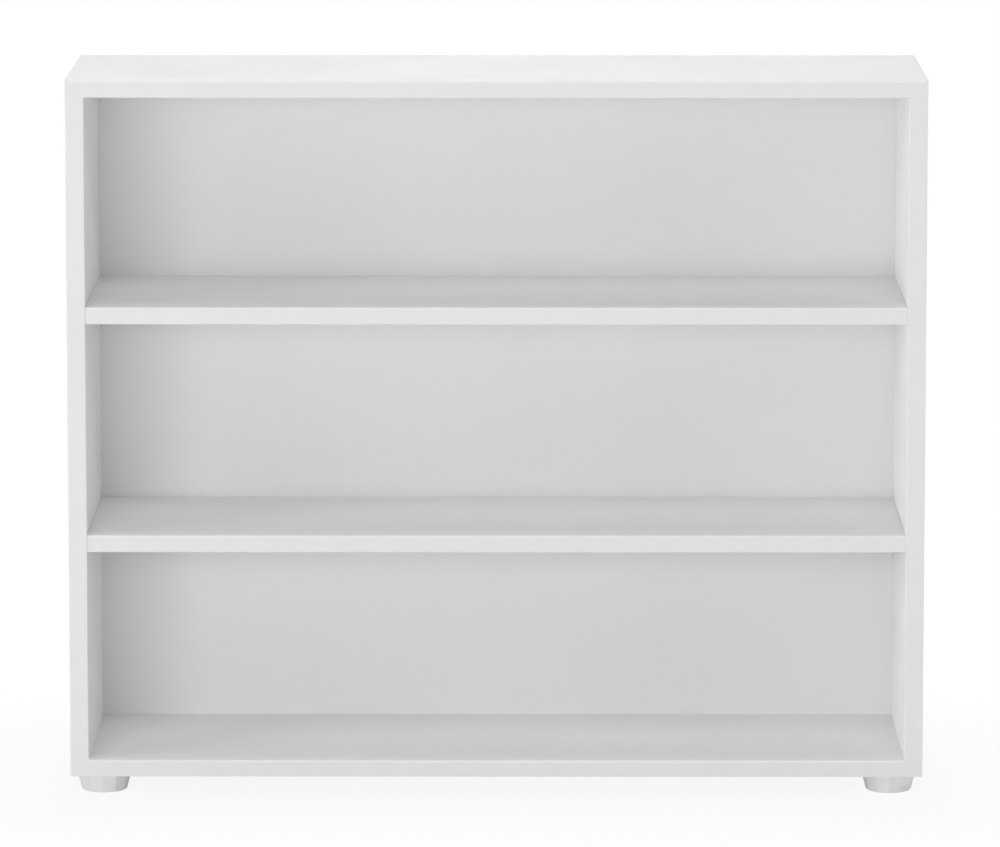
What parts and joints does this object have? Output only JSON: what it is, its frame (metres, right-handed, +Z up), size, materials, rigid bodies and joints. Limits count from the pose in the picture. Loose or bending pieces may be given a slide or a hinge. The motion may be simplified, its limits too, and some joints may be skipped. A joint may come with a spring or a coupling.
{
  "type": "low open bookcase",
  "caption": "Low open bookcase: a flush board body with loose shelves on pins, a grooved back panel, cam and dowel corner joints and short tapered feet with flat facets.",
  "frame": {"origin": "on the floor, under the middle of the body", "axes": "+Z up; the open front faces -Y; +X to the right of someone who stands in front of it"},
  "size_m": [0.92, 0.28, 0.775],
  "materials": {
    "board_lacquer": "satin white lacquer on fibreboard",
    "back_lacquer": "satin white lacquer on thin hardboard",
    "foot_plastic": "satin white moulded plastic",
    "cap_plastic": "satin white moulded plastic",
    "pin_steel": "nickel-plated steel",
    "cam_zinc": "die-cast zinc, blank",
    "bolt_steel": "zinc-plated steel",
    "screw_steel": "zinc-plated steel",
    "dowel_beech": "raw beech"
  },
  "bodies": {
    "carcass": {"top_panel": "board_lacquer", "bottom_panel": "board_lacquer", "left_side_panel": "board_lacquer", "right_side_panel": "board_lacquer", "back_panel": "back_lacquer", "front_left_foot": "foot_plastic", "front_right_foot": "foot_plastic", "rear_left_foot": "foot_plastic", "rear_right_foot": "foot_plastic", "lower_shelf_pins": "pin_steel", "upper_shelf_pins": "pin_steel", "cam_locks": "cam_zinc", "cam_bolts": "bolt_steel", "cam_cover_caps": "cap_plastic", "corner_dowels": "dowel_beech", "foot_screws": "screw_steel"},
    "lower_shelf": {"lower_shelf": "board_lacquer"},
    "upper_shelf": {"upper_shelf": "board_lacquer"}
  },
  "joints": [
    {"name": "lower_shelf_pull_out", "type": "slide", "parent": "carcass", "child": "lower_shelf", "axis": [0, -1, 0], "range_m": [0, 0.3]},
    {"name": "upper_shelf_pull_out", "type": "slide", "parent": "carcass", "child": "upper_shelf", "axis": [0, -1, 0], "range_m": [0, 0.3]}
  ]
}
